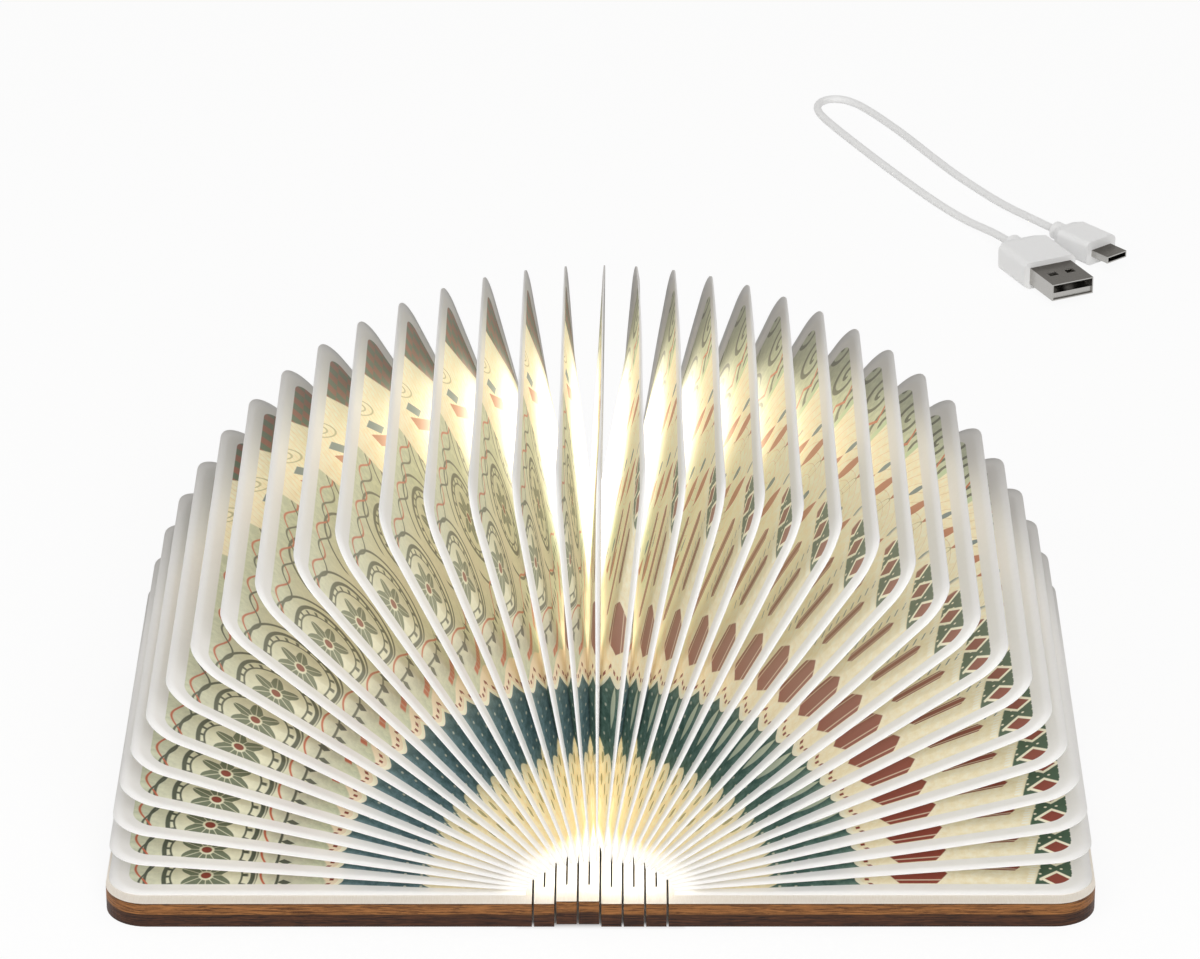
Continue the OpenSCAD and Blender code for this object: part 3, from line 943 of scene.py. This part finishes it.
def draw_far_straw(paint, reach, along, slanted, speck):
    """Straw with hair lines, short bars, wedges and arches, and a chequered corner."""
    straw = paint.mixed(speck.ramp(0.3, 0.7), STRAW, CREAM)
    hair = line(repeated(along - (reach * 0.07).sin() * 7, 2.3), 0.10, 0.12)
    straw = paint.mixed(hair * 0.5, straw, HAIR_TAN)
    across = slanted - 34
    bar_u = repeated(reach, 27, 20.5) + across * 0.7
    bars = across.abs().below(5.4, 0.15) * bar_u.abs().below(1.9, 0.15)
    wedge = (across.abs() * 0.55 + (bar_u - 4.6).abs()).below(2.3, 0.15)
    arch = line((distance(bar_u - 11.5, across * 0.45) - 2.3).abs() - 0.7, 0.16)
    straw = paint.mixed(arch * across.ramp(-7, -6) * 0.7, straw, BUD_OLIVE)
    straw = paint.mixed(wedge, straw, SLATE)
    straw = paint.mixed(bars, straw, BRICK_LIT)
    corner = (reach * 0.8 + along - 99).ramp(-0.3, 0.3)
    checks = repeated(reach, 6).ramp(-0.2, 0.2) - repeated(along, 6).ramp(-0.2, 0.2)
    return paint.mixed(corner, straw, paint.mixed(checks.abs(), LEAF_GREEN, BRICK))


def draw_left_facing(paint, reach, along, speck):
    """Straw with long notched brick bars, leaves, and a dark green speckled border."""
    color = paint.mixed(speck.ramp(0.3, 0.7), STRAW, CREAM)
    rings = line(repeated(distance(reach * 1.5, along, 112, -14), 3.4), 0.12, 0.15)
    color = paint.mixed(rings * along.ramp(-34, -26) * 0.45, color, RING_TAN)
    mint = distance(reach, along * 0.42, 54, -9).ramp(12, 3) * speck.ramp(0.36, 0.62)
    color = paint.mixed(mint * 0.8, color, MINT)
    row = (along / LEAF_ROW).floor()
    u = repeated(reach + row * 7.3, LEAF_PITCH)
    v = repeated(along, LEAF_ROW) + u * 0.35
    clear = (reach + along * 0.3 - 42).ramp(-0.5, 0.5) * along.ramp(13, 11) * along.ramp(-30, -28)
    color = paint.mixed(leaf(u, v, 5.6, 1.9) * clear, color, BRICK_LIT)
    color = paint.mixed(leaf(u - 8.8, v, 2.6, 1.1) * clear, color, SLATE)
    color = paint.mixed(line(distance(u + 8.5, v * 2.2) - 3.0, 0.22) * clear * 0.6, color, BUD_OLIVE)
    for low, high, place, width in NOTCHED_BARS:
        from_middle = (along - place).abs()
        notch = from_middle * 0.8
        bar = (reach - low - notch).ramp(-0.2, 0.2) * (reach - high + notch).ramp(0.2, -0.2)
        bar = bar * line(along - place, width)
        color = paint.mixed(bar, color, BRICK)
        inlay = line(from_middle - width * 0.62, 0.14) * bar
        color = paint.mixed(inlay * 0.8, color, BLUSH)
    hooks = line(repeated(reach - along * 0.6, 2.2), 0.2) * band(along, -44.6, -42.9, 0.15)
    color = paint.mixed(hooks * reach.ramp(57, 58), color, SLATE)
    teals = (TEAL_GREEN, TEAL_GREEN_LIGHT)
    color = draw_inner_zones(paint, reach, along, speck, color, TEAL_BAND_LEFT, teals)
    ovals = leaf(reach - 33, repeated(along, 6.4, 3.0), 5.0, 1.1, 0.15)
    color = paint.mixed(ovals, color, SAGE_PALE)
    into_border = reach - BORDER_REACH - (along + PRINT_HALF) * 0.22
    near_part = along.ramp(-33, -34)
    dots = disc(repeated(reach, 2.3), repeated(along, 2.3), 0, 0, 0.3, 0.15)
    field = paint.mixed(dots, LEAF_GREEN, CREAM)
    gem_u, gem_v = reach - BORDER_GEM_REACH, repeated(along, BORDER_GEM_PITCH, 4.0)
    field = paint.mixed(diamond(gem_u, gem_v, 3.9, 3.4, 0.06), field, CREAM)
    field = paint.mixed(diamond(gem_u, gem_v, 2.7, 2.4, 0.06), field, BRICK)
    color = paint.mixed(into_border.ramp(-0.2, 0.2) * near_part, color, field)
    fringe = band(into_border, -1.9, -0.5, 0.15) * line(repeated(along, 1.0), 0.22)
    color = paint.mixed(fringe * near_part * 0.8, color, FRINGE_CREAM)
    slanted = along - reach * 0.12
    far = slanted.ramp(10.6, 11.4)
    return paint.mixed(far, color, draw_far_sage(paint, reach, along, slanted, speck))


def draw_far_sage(paint, reach, along, slanted, speck):
    """Sage with scrolls, a coral zigzag and a mint stripe."""
    sage = paint.mixed(speck.ramp(0.3, 0.7), SAGE, SAGE_PALE)
    scroll_u, scroll_v = repeated(reach, SCROLL_PITCH), repeated(along, SCROLL_PITCH)
    scroll = distance(scroll_u, scroll_v)
    turn = scroll_u.made("ARCTAN2", scroll_v)
    curls = line(repeated(scroll - turn * 0.6, 3.77), 0.65) * scroll.below(6.6)
    sage = paint.mixed(curls, sage, OLIVE_DARK)
    zigzag = slanted - 17 - repeated(reach, 6).abs() * 1.1
    sage = paint.mixed(line(zigzag, 0.6), sage, CORAL)
    return paint.mixed(band(slanted, 10.8, 13.4), sage, MINT)


def paint_print(name, draw):
    """White rim, generic print, and the light bar shining through the paper, painted as glow and whitened
    colour, with painted shade at the far tips.
    """
    paint = Paint(name, roughness=0.8)
    reach, along = paint.page_place("page")
    speck = paint.noise(paint.joined(reach, along), 0.55, detail=6, roughness=0.65)
    color = draw(paint, reach, along, speck)
    x, y, z = paint.place()
    beyond = (y.abs() - LIGHT_HALF_L).most(0)
    height = (z - LIGHT_Z).most(2)
    apart = (x * x + beyond * beyond + height * height).root()
    upward = height / apart
    near = (LIGHT_REACH / apart).least(4)
    light = near * near * upward
    centre = upward.ramp(0.28, 0.92)
    chamber = along.ramp(*NEAR_FADE) * along.ramp(*FAR_FADE)
    hot = reach.ramp(*HOT_FADE) * chamber * centre
    root_hot = (reach - 2.0).ramp(2.2, -2.0)
    light = light * (1 - along.abs().ramp(36, 46) * 0.82)
    # Painted light: colour washed toward cream where the paper faces up toward the light bar, away from the
    # root.
    painted_light_wash = upward.ramp(0.1, 0.9) * reach.ramp(30, 52) * 0.2
    color = paint.mixed(painted_light_wash, color, CREAM)
    # Painted glare: the colour is whitened where the painted light is strongest.
    painted_glare = (hot * 2).least(1).most(root_hot).most(light.ramp(0.3, 1.5) * 0.5)
    color = paint.mixed(painted_glare * 0.94, color, PAINTED_GLARE_WHITE)
    bare = reach.ramp(TAPER_FROM, TAPER_TO) * RIM_TAPER + RIM_W - RIM_TAPER
    past_reach = reach - (PAGE_L - RIM_W - PRINT_CORNER_R)
    past_along = along.abs() + bare + PRINT_CORNER_R - PAGE_H / 2
    rim = distance(past_reach.most(0), past_along.most(0)) + past_reach.most(past_along).least(0)
    rim = rim.ramp(PRINT_CORNER_R - 0.1, PRINT_CORNER_R + 0.1)
    # Painted shade: the print darkens toward the far tips, less where the hot middle glows.
    painted_tip_shade = along.ramp(28, 58) * reach.ramp(48, 84)
    color = paint.mixed(painted_tip_shade * (1 - hot) * 0.45, color, TIP_SHADE)
    rim_paper = paint.mixed(speck, RIM_SHADE, RIM_WHITE)
    # Painted shade: the rims turn grey toward their far tips.
    rim_paper = paint.mixed(along.ramp(10, 60) * reach.ramp(50, 84) * 0.55, rim_paper, PAINTED_RIM_TIP_SHADE)
    color = paint.mixed(rim, color, rim_paper)
    paint.use_color(color)
    paint.use_bump(speck, 0.00006, 0.5)
    # Painted glow: emission stands in for the light bar's light coming through the paper; the rims glow a
    # little near the root.
    strength = light * GLOW_BY_LIGHT + hot * GLOW_HOT + root_hot * GLOW_ROOT + GLOW_EVEN
    strength = strength * (1 - rim * 0.93) + rim * (reach.ramp(7, 0) * 0.25 + light * 0.04)
    paint.use_glow(paint.tinted(color, LAMP_WARM), strength)
    return paint.material


def make_pages():
    straw_print = paint_print("print_straw", draw_left_facing)
    sage_print = paint_print("print_sage", draw_right_facing)
    shape = PageShape(straw_print, sage_print)
    for i in range(PAGE_COUNT):
        node = f"page_{i + 1:02d}"
        page = shape.page(i, node + "_sheets")
        body = "left_cover" if i == 0 else "right_cover" if i == PAGE_COUNT - 1 else node
        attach(page, body)
        stands_for = [node]
        if i == LEFT_PAGES - 1:
            stands_for.append("bellows_left")
        if i == LEFT_PAGES:
            stands_for.append("bellows_right")
        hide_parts(*stands_for)
        normal = out_from((0, 0), fan(i), 0, 0, 1)
        anchor = out_from(root(i), fan(i), 0, 0, 0) * MM
        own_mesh(page)


make_pages()
